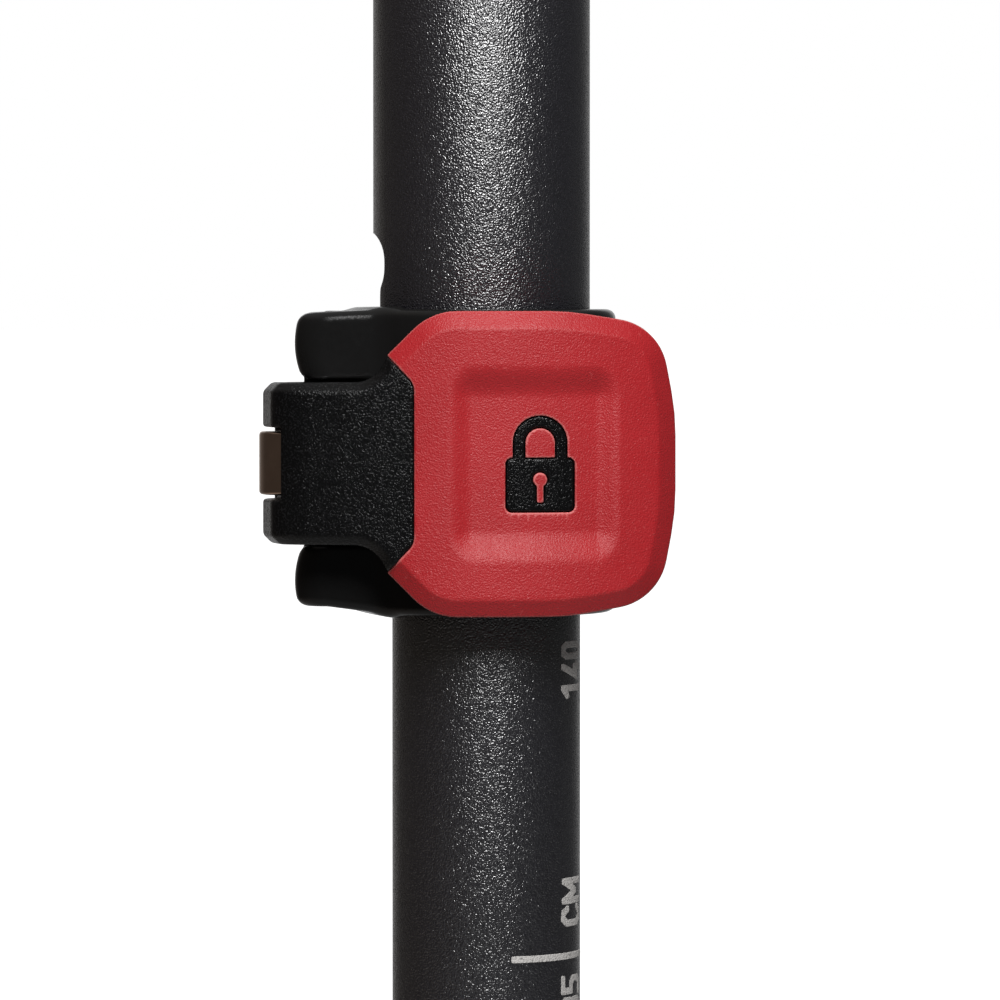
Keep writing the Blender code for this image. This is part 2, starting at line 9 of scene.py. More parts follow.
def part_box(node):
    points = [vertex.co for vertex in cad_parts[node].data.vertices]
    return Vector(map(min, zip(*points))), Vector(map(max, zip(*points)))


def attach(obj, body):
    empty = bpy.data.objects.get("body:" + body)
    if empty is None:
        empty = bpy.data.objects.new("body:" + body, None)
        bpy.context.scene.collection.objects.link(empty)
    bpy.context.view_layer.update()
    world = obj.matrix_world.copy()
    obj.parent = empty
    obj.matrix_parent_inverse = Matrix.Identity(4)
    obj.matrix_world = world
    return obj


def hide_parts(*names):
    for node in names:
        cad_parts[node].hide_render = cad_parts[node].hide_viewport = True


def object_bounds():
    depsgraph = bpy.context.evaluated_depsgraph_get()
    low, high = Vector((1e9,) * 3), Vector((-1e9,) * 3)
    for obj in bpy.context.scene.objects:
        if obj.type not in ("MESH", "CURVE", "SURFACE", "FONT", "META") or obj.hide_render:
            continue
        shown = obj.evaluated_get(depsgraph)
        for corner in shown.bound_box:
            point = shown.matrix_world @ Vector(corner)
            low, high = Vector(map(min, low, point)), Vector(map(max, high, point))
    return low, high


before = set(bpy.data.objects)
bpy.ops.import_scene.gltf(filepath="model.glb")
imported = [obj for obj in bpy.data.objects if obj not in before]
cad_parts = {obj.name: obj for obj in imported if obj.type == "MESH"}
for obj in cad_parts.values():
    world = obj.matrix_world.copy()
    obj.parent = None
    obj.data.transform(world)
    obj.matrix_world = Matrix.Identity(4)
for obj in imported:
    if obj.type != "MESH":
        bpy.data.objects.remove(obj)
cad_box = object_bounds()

# ------------------------------------------------------------------------------------------
# Upper tube: drawn 16 mm aluminium, powder coated in a fine black wrinkle and then sawn off
# bare. The collar grips its lower end, which is slotted on the left so that it can be
# squeezed, with a wider relief where the slot ends.

UNIT = 0.00088  # metres: the clamp is drawn for an 18 mm shaft and made for a 16 mm one


def span(node):
    """A CAD node's lowest and highest corners in drawing units."""
    low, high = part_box(node)
    return Vector(low) / UNIT, Vector(high) / UNIT


class Wire:
    """An output of a shader's nodes. Sums on it add Math nodes; node() adds any other node."""

    def __init__(self, tree, socket=None):
        self.tree = tree
        self.socket = socket

    def feed(self, socket, given):
        """Link a socket to another output, or set it to a value."""
        if isinstance(given, Wire):
            self.tree.links.new(given.socket, socket)
        else:
            socket.default_value = given

    def node(self, kind, settings=None, output=0, **inputs):
        made = self.tree.nodes.new(kind)
        for name, setting in (settings or {}).items():
            setattr(made, name, setting)
        for name, given in inputs.items():
            self.feed(made.inputs[name.replace("_", " ")], given)
        return Wire(self.tree, made.outputs[output])

    def math(self, operation, *values, clamp=False):
        made = self.tree.nodes.new("ShaderNodeMath")
        made.operation = operation
        made.use_clamp = clamp
        for socket, given in zip(made.inputs, values):
            self.feed(socket, given)
        return Wire(self.tree, made.outputs[0])

    def __add__(self, other):
        return self.math("ADD", self, other)

    __radd__ = __add__

    def __sub__(self, other):
        return self.math("SUBTRACT", self, other)

    def __rsub__(self, other):
        return self.math("SUBTRACT", other, self)

    def __mul__(self, other):
        return self.math("MULTIPLY", self, other)

    __rmul__ = __mul__

    def step(self, low, high):
        """0 below low, 1 above high, and a straight ramp between."""
        return self.math("MULTIPLY", self - low, 1 / (high - low), clamp=True)

    def mix(self, first, second):
        """One colour where this is 0, the other where it is 1."""
        made = self.tree.nodes.new("ShaderNodeMix")
        made.data_type = "RGBA"
        self.feed(made.inputs["Factor"], self)
        for socket, given in ((made.inputs[6], first), (made.inputs[7], second)):
            self.feed(socket, given if isinstance(given, Wire) else (*given, 1))
        return Wire(self.tree, made.outputs[2])

    def place(self):
        """The piece's own coordinates, in metres."""
        return self.node("ShaderNodeTexCoord", output="Object")

    def noise(self, where, scale, detail=2.0, roughness=0.5, stretch=None):
        """Noise with features about 1 / scale drawing units across."""
        if stretch:
            where = self.node("ShaderNodeMapping", Vector=where, Scale=stretch)
        return self.node(
            "ShaderNodeTexNoise", Vector=where, Scale=scale / UNIT, Detail=detail, Roughness=roughness
        )

    def painted_highlight_edge(self, low, high):
        """1 along a moulding's outer edges and 0 away from them, the mask of a painted edge highlight.
        """
        return self.node("ShaderNodeAttribute", {"attribute_name": "painted_highlight_edge"}, "Fac").step(low, high)

    def bump(self, height, depth, under=None):
        """A surface normal from a height of 0 to 1 that stands depth drawing units high."""
        given = {"Height": height, "Distance": depth * UNIT}
        if under:
            given["Normal"] = under
        return self.node("ShaderNodeBump", **given)


def finish(name, color, roughness, normal=None, **fixed):
    """A material whose colour, roughness and normal may vary, and whose other values are fixed."""
    material = bpy.data.materials.new(name)
    material.use_nodes = True
    shader = material.node_tree.nodes["Principled BSDF"]
    for key, given in fixed.items():
        shader.inputs[key.replace("_", " ")].default_value = given
    wire = Wire(material.node_tree)
    for key, recipe in (("Base Color", color), ("Roughness", roughness), ("Normal", normal)):
        if isinstance(recipe, float):
            shader.inputs[key].default_value = recipe
        elif recipe:
            material.node_tree.links.new(recipe(wire).socket, shader.inputs[key])
    return material


def wrinkle_height(wire):
    """Fine wrinkles, an eighth of a millimetre apart."""
    where = wire.place()
    coarse = wire.noise(where, 6.8, detail=0.0)
    fine = wire.noise(where, 11.0, detail=0.0)
    return coarse * 0.75 + fine * 0.25


def wrinkle(wire):
    return wire.bump(wrinkle_height(wire), 0.1)


def coat_color(wire):
    cloud = wire.noise(wire.place(), 0.09, detail=3) * 0.3
    return (wrinkle_height(wire) - 0.15 + cloud).step(0.3, 0.7).mix(
        (0.0056, 0.0052, 0.0078), (0.014, 0.0133, 0.0182)
    )


def coat_roughness(wire):
    return wire.noise(wire.place(), 2.6, detail=2) * 0.06 + 0.25


wrinkle_coat = finish(
    "wrinkle_coat", coat_color, coat_roughness, wrinkle, IOR=1.75, Specular_IOR_Level=0.95
)


def bare_metal(name, shade, rough, grain=(1, 1, 12)):
    """Bare metal with faint drawing or turning lines."""
    return finish(
        name,
        lambda wire: wire.noise(wire.place(), 0.5, detail=4).step(0.3, 0.7).mix(
            tuple(value * 0.86 for value in shade), shade
        ),
        lambda wire: wire.noise(wire.place(), 1.5, detail=3, stretch=grain) * 0.2 + rough,
        lambda wire: wire.bump(wire.noise(wire.place(), 2.5, detail=2, stretch=grain), 0.01),
        Metallic=1.0,
    )


bare_aluminium = bare_metal("bare_aluminium", (0.62, 0.62, 0.63), 0.26, (1, 1, 0.1))


def add(name, mesh, material, body, slot, *nodes):
    """Put a mesh in the scene as a piece that rides on a body and stands for CAD nodes."""
    piece = bpy.data.objects.new(name, mesh)
    bpy.context.scene.collection.objects.link(piece)
    for each in material if isinstance(material, (list, tuple)) else [material]:
        mesh.materials.append(each)
    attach(piece, body)
    if nodes:
        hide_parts(*nodes)
    return piece


def turned(name, profile, sides=192, closed=False):
    """A mesh from a profile of (radius, height) in drawing units, turned about Z.

    The profile runs down its outer side. A closed one is a ring; an open one meets the axis."""
    shape = bmesh.new()
    rings = []
    for radius, height in profile:
        if radius == 0:
            rings.append([shape.verts.new((0, 0, height * UNIT))] * sides)
            continue
        ring = []
        for side in range(sides):
            turn = 2 * math.pi * side / sides
            reach = radius * UNIT
            ring.append(shape.verts.new((reach * math.cos(turn), reach * math.sin(turn), height * UNIT)))
        rings.append(ring)
    pairs = list(zip(rings, rings[1:])) + ([(rings[-1], rings[0])] if closed else [])
    for upper, lower in pairs:
        for side in range(sides):
            after = (side + 1) % sides
            corners = [upper[side], lower[side], lower[after], upper[after]]
            shape.faces.new(list(dict.fromkeys(corners)))
    for face in shape.faces:
        face.smooth = True
    mesh = bpy.data.meshes.new(name)
    shape.to_mesh(mesh)
    shape.free()
    return mesh


def eased(points, ease, steps=3):
    """A profile with each corner rounded by ease."""
    result = []
    for index, point in enumerate(points):
        here = Vector(point)
        before = Vector(points[index - 1]) - here
        after = Vector(points[(index + 1) % len(points)]) - here
        start = here + before.normalized() * ease
        end = here + after.normalized() * ease
        for step in range(steps + 1):
            share = step / steps
            result.append(start.lerp(here, share).lerp(here.lerp(end, share), share))
    return [tuple(point) for point in result]


def cut(mesh, *tools):
    """The mesh with each tool mesh taken away."""
    holder = bpy.data.objects.new("cutting", mesh)
    bpy.context.scene.collection.objects.link(holder)
    helpers = []
    for tool in tools:
        helper = bpy.data.objects.new("tool", tool)
        bpy.context.scene.collection.objects.link(helper)
        helpers.append(helper)
        boolean = holder.modifiers.new("cut", "BOOLEAN")
        boolean.object = helper
        boolean.operation = "DIFFERENCE"
    result = applied(holder)
    for helper in helpers:
        bpy.data.objects.remove(helper)
    return result


def applied(holder):
    """The mesh of an object with its modifiers worked in; the object goes."""
    bpy.context.view_layer.update()
    evaluated = holder.evaluated_get(bpy.context.evaluated_depsgraph_get())
    result = bpy.data.meshes.new_from_object(evaluated)
    bpy.data.objects.remove(holder)
    return result


def prism(outline, low, high, along="X"):
    """A flat outline in drawing units made solid from low to high along one axis."""
    shape = bmesh.new()
    rings = []
    for depth in (low, high):
        ring = []
        for point in outline:
            place = list(point)
            place.insert("XYZ".index(along), depth)
            ring.append(shape.verts.new(Vector(place) * UNIT))
        rings.append(ring)
    shape.faces.new(rings[0])
    shape.faces.new(list(reversed(rings[1])))
    count = len(outline)
    for side in range(count):
        after = (side + 1) % count
        shape.faces.new([rings[0][after], rings[0][side], rings[1][side], rings[1][after]])
    bmesh.ops.recalc_face_normals(shape, faces=shape.faces)
    mesh = bpy.data.meshes.new("prism")
    shape.to_mesh(mesh)
    shape.free()
    return mesh


def softened(mesh, width, angle=35, segments=2):
    """The mesh with its sharp edges rounded by width, shaded smooth."""
    holder = bpy.data.objects.new("softening", mesh)
    bpy.context.scene.collection.objects.link(holder)
    bevel = holder.modifiers.new("edge", "BEVEL")
    bevel.width = width * UNIT
    bevel.segments = segments
    bevel.limit_method = "ANGLE"
    bevel.angle_limit = math.radians(angle)
    result = applied(holder)
    result.shade_smooth()
    result.set_sharp_from_angle(angle=math.radians(40))
    return result


tube_low, tube_high = span("upper_tube")
tube_radius = tube_high.x
tube_wall = 0.6
slot_half = 3.35
relief_half = 4.2
relief_middle = 16.6
relief_rise = 2.7
edge_soft = 0.07


def slot_reach(height):
    """Half the slot's width: it swells into the relief and closes in a shallow dome."""
    share = (height - relief_middle) / relief_rise
    swell = relief_half * max(0, 1 - abs(share) ** 2.5) ** 0.4
    if share > 0:
        return swell
    ease = 0.4 * min(1, -share)
    return (swell + slot_half + math.hypot(swell - slot_half, ease)) / 2


tube_profile = [
    (tube_radius, tube_high.z),
    (tube_radius, tube_low.z),
    (tube_radius - tube_wall, tube_low.z),
    (tube_radius - tube_wall, tube_high.z),
]
slot_heights = [tube_low.z - 2]
slot_heights += [relief_middle - relief_rise * below for below in (1.3, 1.2, 1.1)]
slot_heights += [relief_middle - relief_rise * math.cos(math.pi * step / 40) for step in range(41)]
slot_side = [(slot_reach(height), height) for height in slot_heights]
slot_outline = slot_side[:-1] + [(0, slot_heights[-1])] + [(-reach, z) for reach, z in slot_side[-2::-1]]
upper_tube_mesh = cut(
    turned("upper_tube_skin", tube_profile, closed=True), prism(slot_outline, -2 * tube_radius, 0)
)
upper_tube_mesh = softened(upper_tube_mesh, edge_soft, angle=50)


def show_cut_end(mesh, height, tolerance=0.05):
    """Give the faces at a sawn end the second material, bare metal."""
    for face in mesh.polygons:
        if abs(face.center.z / UNIT - height) < tolerance and abs(face.normal.z) > 0.5:
            face.material_index = 1


show_cut_end(upper_tube_mesh, tube_high.z)
add(
    "upper_tube_skin",
    upper_tube_mesh,
    [wrinkle_coat, bare_aluminium],
    "clamp",
    "tube_coating",
    "upper_tube",
)

# ------------------------------------------------------------------------------------------
# Lower tube: drawn 14 mm aluminium in the same wrinkle coat, free to slide in the upper one.
# A length scale is printed up its right front in pale grey ink: numbers, the unit, and a
# line that wraps round the tube.

lower_low, lower_high = span("lower_tube")
lower_radius = (lower_high.x - lower_low.x) / 2
lower_x = (lower_high.x + lower_low.x) / 2
lower_wall = 0.75
lower_profile = [
    (lower_radius, lower_high.z),
    (lower_radius, lower_low.z),
    (lower_radius - lower_wall, lower_low.z),
    (lower_radius - lower_wall, lower_high.z),
]
beside_axis = Matrix.Translation((lower_x * UNIT, 0, 0))


def placed(mesh, move):
    """The mesh moved into its place, with its edges kept crisp."""
    mesh.transform(move)
    mesh.set_sharp_from_angle(angle=math.radians(40))
    return mesh


lower_tube_mesh = turned("lower_tube_skin", eased(lower_profile, edge_soft), closed=True)
lower_tube_mesh = placed(lower_tube_mesh, beside_axis)
show_cut_end(lower_tube_mesh, lower_low.z)
add(
    "lower_tube_skin",
    lower_tube_mesh,
    [wrinkle_coat, bare_aluminium],
    "lower_section",
    "tube_coating",
    "lower_tube",
)


def ink_color(wire):
    worn = wire.noise(wire.place(), 3.6, detail=2).step(0.3, 0.42)
    return worn.mix((0.3, 0.29, 0.28), (0.62, 0.6, 0.58))


scale_ink = finish("scale_ink", ink_color, 0.55, wrinkle)


def moulded(name, distance, low, high, cell, keep=1.0, bend=None):
    """A mesh of where distance(x, y, z) is below zero, all in drawing units.

    Each cell that the surface crosses gets a vertex amid its crossings, and each crossed
    grid edge a face between its four cells. bend may move the vertices, and keep is the
    share of faces left afterwards."""
    axes = [np.arange(a - 2 * cell, b + 2 * cell, cell) for a, b in zip(low, high)]
    grids = [axes[0][:, None, None], axes[1][None, :, None], axes[2][None, None, :]]
    shape = tuple(len(axis) for axis in axes)
    field = np.ascontiguousarray(np.broadcast_to(distance(*grids), shape), dtype=np.float32)
    solid = field < 0
    strides = np.array([shape[1] * shape[2], shape[2], 1])
    quads, owners, points = [], [], []
    for axis in range(3):
        near = [slice(1, -1)] * 3
        far = [slice(1, -1)] * 3
        near[axis], far[axis] = slice(0, -1), slice(1, None)
        start = np.argwhere(solid[tuple(near)] != solid[tuple(far)]) + 1
        start[:, axis] -= 1
        unit = np.eye(3, dtype=int)
        here = field[tuple(start.T)]
        there = field[tuple((start + unit[axis]).T)]
        crossing = start + unit[axis] * (here / (here - there))[:, None]
        second, third = unit[(axis + 1) % 3], unit[(axis + 2) % 3]
        around = [start, start - second, start - second - third, start - third]
        cells = np.stack([corner @ strides for corner in around], axis=1)
        outward = here < 0
        quads.append(np.where(outward[:, None], cells, cells[:, ::-1]))
        for column in range(4):
            owners.append(cells[:, column])
            points.append(crossing)
    owners, points, quads = np.concatenate(owners), np.concatenate(points), np.concatenate(quads)
    used, index = np.unique(owners, return_inverse=True)
    count = np.bincount(index)
    vertices = np.stack([np.bincount(index, points[:, k]) / count for k in range(3)], axis=1)
    origin = np.array([axis[0] for axis in axes])
    vertices = vertices * cell + origin
    if bend:
        vertices = bend(vertices)
    vertices = vertices * UNIT
    mesh = bpy.data.meshes.new(name)
    mesh.vertices.add(len(vertices))
    mesh.vertices.foreach_set("co", vertices.astype(np.float32).ravel())
    mesh.loops.add(quads.size)
    mesh.loops.foreach_set("vertex_index", np.searchsorted(used, quads).astype(np.int32).ravel())
    mesh.polygons.add(len(quads))
    mesh.polygons.foreach_set("loop_start", np.arange(0, quads.size, 4, dtype=np.int32))
    mesh.update(calc_edges=True)
    mesh.validate()
    holder = bpy.data.objects.new(name, mesh)
    bpy.context.scene.collection.objects.link(holder)
    if keep < 1:
        holder.modifiers.new("fewer", "DECIMATE").ratio = keep
    mesh = applied(holder)
    mesh.name = name
    mesh.shade_smooth()
    mark_edges(mesh)
    return mesh


def mark_edges(mesh):
    """Store on each vertex how far its neighbours fall away: high along outer edges, where the thumb
    pad's colour paints a highlight.
    """
    count = len(mesh.vertices)
    places = np.empty(count * 3, dtype=np.float32)
    mesh.vertices.foreach_get("co", places)
    places = places.reshape(-1, 3)
    normals = np.empty(count * 3, dtype=np.float32)
    mesh.vertex_normals.foreach_get("vector", normals)
    normals = normals.reshape(-1, 3)
    pairs = np.empty(len(mesh.edges) * 2, dtype=np.int32)
    mesh.edges.foreach_get("vertices", pairs)
    one, other = pairs.reshape(-1, 2).T
    way = places[one] - places[other]
    way /= np.maximum(np.linalg.norm(way, axis=1), 1e-9)[:, None]
    fall = np.bincount(one, (way * normals[one]).sum(1), count)
    fall -= np.bincount(other, (way * normals[other]).sum(1), count)
    fall /= np.maximum(np.bincount(pairs, minlength=count), 1)
    attribute = mesh.attributes.new("painted_highlight_edge", "FLOAT", "POINT")
    attribute.data.foreach_set("value", fall.astype(np.float32))


def meet(first, second, radius):
    """Where both are solid, the edge between them rounded by radius."""
    a, b = np.maximum(first + radius, 0), np.maximum(second + radius, 0)
    return np.minimum(-radius, np.maximum(first, second)) + np.sqrt(a * a + b * b)


def join(first, second, radius):
    """Where either is solid, with a fillet of radius in the corner between them."""
    return -meet(-first, -second, radius)


def slab(value, low, high):
    """Distance outside a range of one coordinate."""
    return np.maximum(low - value, value - high)


glyph_stroke = 0.29
glyph_foot = math.radians(78.9)  # round from the front to the right
ink_height = 0.03
ink_swell = 10  # the ink is meshed this many times too thick, then flattened
glyphs = {
    "0": [
        [(0.29, 0.8), (0.29, 2.9), (0.55, 3.41), (1.0, 3.41), (1.27, 2.9)],
        [(1.27, 2.9), (1.27, 0.8), (1.0, 0.29), (0.55, 0.29), (0.29, 0.8)],
    ],
    "1": [[(0.25, 2.75), (0.88, 3.41), (0.88, 0.29)]],
    "3": [
        [(0.2, 3.41), (1.0, 3.41), (1.3, 3.1), (1.3, 2.3), (1.0, 1.95), (0.55, 1.95)],
        [(1.0, 1.95), (1.3, 1.55), (1.3, 0.65), (1.0, 0.29), (0.2, 0.29)],
    ],
    "4": [[(1.12, 3.41), (0.3, 0.97), (1.35, 0.97)], [(1.12, 1.5), (1.12, 0.29)]],
    "5": [
        [(1.4, 3.41), (0.35, 3.41), (0.35, 2.0), (1.0, 2.1), (1.38, 1.7)],
        [(1.38, 1.7), (1.38, 0.7), (1.0, 0.29), (0.25, 0.29)],
    ],
    "C": [
        [(1.5, 2.75), (1.2, 3.35), (0.7, 3.41), (0.31, 2.85)],
        [(0.31, 2.85), (0.31, 0.85), (0.7, 0.29), (1.25, 0.29), (1.58, 0.75)],
    ],
    "M": [[(0.31, 0.29), (0.31, 3.3), (1.14, 1.3), (1.97, 3.3), (1.97, 0.29)]],
}


def printed(name, strokes, low, foot_turn, half):
    """Ink strokes drawn flat, rightwards and upwards, then laid up the tube from height low."""
    segments = [pair for stroke in strokes for pair in zip(stroke, stroke[1:])]
    points = [point for pair in segments for point in pair]

    def ink(u, v, depth):
        best = np.inf
        for (ua, va), (ub, vb) in segments:
            du, dv = ub - ua, vb - va
            share = np.clip(((u - ua) * du + (v - va) * dv) / (du * du + dv * dv), 0, 1)
            across, up = u - ua - share * du, v - va - share * dv
            best = np.minimum(best, (across**4 + up**4) ** 0.25 - half)
        return np.maximum(best, slab(depth, 0.0, ink_height * ink_swell))

    def lay(vertices):
        turn = foot_turn - vertices[:, 1] / lower_radius
        radius = lower_radius + vertices[:, 2] / ink_swell - ink_height / 3
        x, y = lower_x + radius * np.sin(turn), -radius * np.cos(turn)
        return np.stack([x, y, vertices[:, 0] + low], axis=1)

    least = (min(u for u, _ in points) - half, min(v for _, v in points) - half, 0)
    most = (max(u for u, _ in points) + half, max(v for _, v in points) + half, ink_height * ink_swell)
    mesh = moulded(name, ink, least, most, cell=0.075, bend=lay)
    add(name, mesh, scale_ink, "lower_section", "tube_coating")


rows = [("140", (-20.05, -18.5, -16.75)), ("CM", (-39.4, -37.5)), ("135", (-48.35, -46.95, -45.2))]
for row, places in rows:
    for glyph, low in zip(row, places):
        printed(f"printed_{row}_{glyph}", glyphs[glyph], low, glyph_foot, glyph_stroke)

line_height = -41.85
line_start = math.radians(17.5)
line_end = math.radians(150)
line_stroke = [[(0, 0), (0, (line_end - line_start) * lower_radius)]]
printed("printed_line", line_stroke, line_height, line_end, glyph_stroke)

# ------------------------------------------------------------------------------------------
# Plug and guide ring: the plug is moulded grey nylon, ribbed where it is driven into the
# lower tube, and a split ring of natural nylon sits in its groove and runs in the upper tube.


def moulded_nylon(name, shade, rough, grain, depth, **fixed):
    """Moulded nylon: slightly mottled, with the mould's grain."""
    return finish(
        name,
        lambda wire: wire.noise(wire.place(), 0.26, detail=4).step(0.3, 0.72).mix(
            tuple(value * 0.88 for value in shade), shade
        ),
        lambda wire: wire.noise(wire.place(), grain * 0.5, detail=3) * 0.2 + rough,
        lambda wire: wire.bump(wire.noise(wire.place(), grain, detail=2, roughness=0.6), depth),
        **fixed,
    )


grey_nylon = moulded_nylon("grey_nylon", (0.12, 0.12, 0.125), 0.42, 2.5, 0.04)
natural_nylon = moulded_nylon(
    "natural_nylon", (0.68, 0.66, 0.6), 0.36, 2, 0.03, Subsurface_Weight=0.15, Subsurface_Scale=0.001
)

plug_low, plug_high = span("tube_plug")
ring_low, ring_high = span("guide_ring")
plug_play = 0.2
plug_stem = lower_radius - lower_wall - plug_play
plug_rim = (plug_high.x - plug_low.x) / 2
groove = plug_stem - 0.6
neck = ring_low.z - plug_play
cap = ring_high.z + plug_play
rib_count, rib_pitch, rib_deep, rib_tall = 5, 1.35, 0.35, 0.9
seat = lower_high.z + 0.3
plug_profile = [(plug_rim, plug_high.z), (plug_rim, cap), (groove, cap), (groove, neck)]
plug_profile += [(plug_rim, neck), (plug_rim, seat), (plug_stem, seat)]
for rib in range(rib_count):
    top = seat - rib_tall - rib_pitch * rib
    plug_profile += [(plug_stem, top), (plug_stem - rib_deep, top - rib_tall / 2)]
    plug_profile += [(plug_stem, top - rib_tall)]
plug_profile += [(plug_stem - 0.5, plug_low.z)]
plug_profile = [(0, plug_high.z)] + eased(plug_profile, 0.12, 2) + [(0, plug_low.z)]
plug_mesh = placed(turned("plug_body", plug_profile, 96), beside_axis)
add("plug_body", plug_mesh, grey_nylon, "lower_section", "grey_nylon", "tube_plug")

ring_radius = (ring_high.x - ring_low.x) / 2
ring_inner = groove + 0.3
crown, crown_ease = 0.12, 0.5
ring_profile = [(ring_radius - crown, ring_high.z), (ring_radius, ring_high.z - crown_ease)]
ring_profile += [(ring_radius, ring_low.z + crown_ease), (ring_radius - crown, ring_low.z)]
ring_profile += [(ring_inner, ring_low.z), (ring_inner, ring_high.z)]
ring_mesh = turned("split_ring", eased(ring_profile, 0.1, 2), 128, closed=True)
gap, gap_lean = 0.7, 1.2
past_ring = 2 * ring_radius
gap_outline = [(0, -gap), (past_ring, -gap - gap_lean), (past_ring, gap - gap_lean), (0, gap)]
ring_mesh = cut(ring_mesh, prism(gap_outline, ring_low.z - 1, ring_high.z + 1, along="Z"))
ring_mesh.transform(beside_axis)
ring_mesh = softened(ring_mesh, 0.05, angle=50)
add("split_ring", ring_mesh, natural_nylon, "guide", "natural_nylon", "guide_ring")

# ------------------------------------------------------------------------------------------
# Clamp collar: black glass-filled nylon, moulded in one piece, split down the left between
# two ears. The front ear is recessed so that the lever's hub sits between its two walls.


def outline_distance(points, u, v):
    """Distance outside a closed outline, negative inside it."""
    best = np.full(np.broadcast_shapes(u.shape, v.shape), 1e9)
    inside = np.zeros(best.shape, dtype=bool)
    for (ua, va), (ub, vb) in zip(points, points[1:] + points[:1]):
        du, dv = ub - ua, vb - va
        share = np.clip(((u - ua) * du + (v - va) * dv) / (du * du + dv * dv), 0, 1)
        best = np.minimum(best, (u - ua - share * du) ** 2 + (v - va - share * dv) ** 2)
        if dv:
            inside ^= ((va > v) != (vb > v)) & (u < du * (v - va) / dv + ua)
    return np.where(inside, -1, 1) * np.sqrt(best)


def rounded_box(u, v, half_u, half_v, radius):
    """Distance outside a rounded rectangle about the origin."""
    a, b = np.abs(u) - half_u + radius, np.abs(v) - half_v + radius
    outside = np.sqrt(np.maximum(a, 0) ** 2 + np.maximum(b, 0) ** 2)
    return outside + np.minimum(np.maximum(a, b), 0) - radius


collar_low, collar_high = span("clamp_collar")
collar_radius = collar_high.x
collar_half = collar_high.z
pin_low, pin_high = span("pivot_pin")
plate_low, plate_high = span("wear_plate")
pivot = (pin_low + pin_high) / 2
ear_left, ear_foot, ear_top = -15.72, -12.13, 12.5
rear_ear_left, rear_ear_foot, rear_ear_top = -13.9, -12.1, 12.72
ear_front, ear_back = -8.0, 5.0
ear_root = -7  # the ears run in under the ring as far as this
ear_rise = 0.045
ear_bend, ear_spread = -12.9, 0.13
foot_start, foot_lift = -7.5, 0.12
floor_left = -15.0
seat_half = 6.4
recess_half = 6.87
recess_floor = plate_high.y + 0.3
lip_radius = lower_radius + lower_x + 0.3
lip_top = -collar_half + 1.1
bore_radius = tube_radius + 0.12
split_half = 1.0
shank = 2.3


def collar_distance(x, y, z):
    radial = np.hypot(x, y)
    foot = -collar_half + foot_lift * np.maximum(foot_start - x, 0)
    ring = meet(radial - collar_radius, slab(z, foot, collar_half), 0.8)
    low_edge = ear_foot - ear_spread * np.maximum(x - ear_bend, 0)
    edges = slab(z, low_edge, ear_top + ear_rise * (x - ear_left))
    left = ear_left + 0.07 * (np.abs(z) - 10) ** 2 - x
    recess = slab(z, -recess_half, recess_half)
    lugs = meet(meet(left, ear_front - y, 2.4), edges, 0.8)
    lugs = meet(np.maximum(lugs, meet(left, -recess, 0.9)), -recess, 0.15)
    lugs = np.maximum(lugs, y)
    floor_part = np.maximum(meet(floor_left - x, edges, 0.8), slab(y, recess_floor, 0))
    rear_edges = slab(z, rear_ear_foot, rear_ear_top)
    rear = meet(meet(rear_ear_left - x, rear_edges, 0.8), slab(y, 0, ear_back), 0.6)
    lugs, floor_part, rear = (np.maximum(part, x - ear_root) for part in (lugs, floor_part, rear))
    back = np.minimum(floor_part, rear)
    seat_view = meet(collar_low.x - x, slab(z, -seat_half, seat_half), 1.0)
    seat = meet(meet(seat_view, x + 9, 0.0), slab(y, recess_floor, ear_back + 1), 0.4)
    slot = meet(slab(z, -shank, shank), x - pivot.x - shank, 0.3)
    ears = meet(join(join(lugs, back, 0.15), seat, 0.4), -slot, 0.3)
    solid = join(ring, ears, 0.8)
    hub_room = meet(recess, y - recess_floor, 0.2)
    solid = meet(solid, -meet(hub_room, x - (pivot.x + 5.6), 0.2), 0.3)
    bore = np.minimum(meet(radial - bore_radius, lip_top - z, 0.05), radial - lip_radius)
    split = meet(slab(y, -split_half, split_half), x, 0.05)
    return meet(meet(solid, -bore, 0.25), -split, 0.3)


black_nylon = moulded_nylon(
    "black_nylon", (0.0098, 0.0096, 0.0096), 0.09, 3.2, 0.01, Specular_IOR_Level=0.25
)
collar_mesh = moulded("collar_moulding", collar_distance, collar_low, collar_high, cell=0.22, keep=0.45)
add("collar_moulding", collar_mesh, black_nylon, "clamp", "black_nylon", "clamp_collar")

# ------------------------------------------------------------------------------------------
# Wear plate: a stamped plate of zinc-plated steel between the cam and the front ear, with
# an open slot for the bolt.

bright_steel = bare_metal("bright_steel", (0.56, 0.56, 0.57), 0.22, (1, 1, 8))
plate_slot_end = pivot.x + shank
plate_slot_half = 2.9
plate_outline = [
    (plate_low.x, plate_low.z),
    (plate_high.x, plate_low.z),
    (plate_high.x, plate_high.z),
    (plate_low.x, plate_high.z),
    (plate_low.x, plate_slot_half),
    (plate_slot_end, plate_slot_half),
    (plate_slot_end, -plate_slot_half),
    (plate_low.x, -plate_slot_half),
]
plate_mesh = softened(prism(plate_outline, plate_low.y, plate_high.y, along="Y"), 0.12, angle=40)
add("cam_plate", plate_mesh, bright_steel, "clamp", "bright_steel", "wear_plate")

# ------------------------------------------------------------------------------------------
# Lever body: black nylon with a fine eroded grain, a forked cam hub on the left, an arm
# across the collar and a plate that the thumb pad is moulded over.

lever_low, lever_high = span("lever_body")
swing = 100.0  # degrees from closed to open
pin_bore = 1.6
cam_closed, cam_open = 4.3, 3.6
cam_first, cam_last, cam_step = 30, 190, 4
hub_half = 6.75
fork_half = 3.0
hub_corner = Vector((-17.2, -13.2))
arc_x, arc_y = -0.5, 11.9
pad_outer, pad_inner = 27.19, 25.9
arm_front, arm_back = 27.0, 23.75
arm_first, arm_last, arm_back_first = 258.9, 305.2, 249
post_front = 26.22


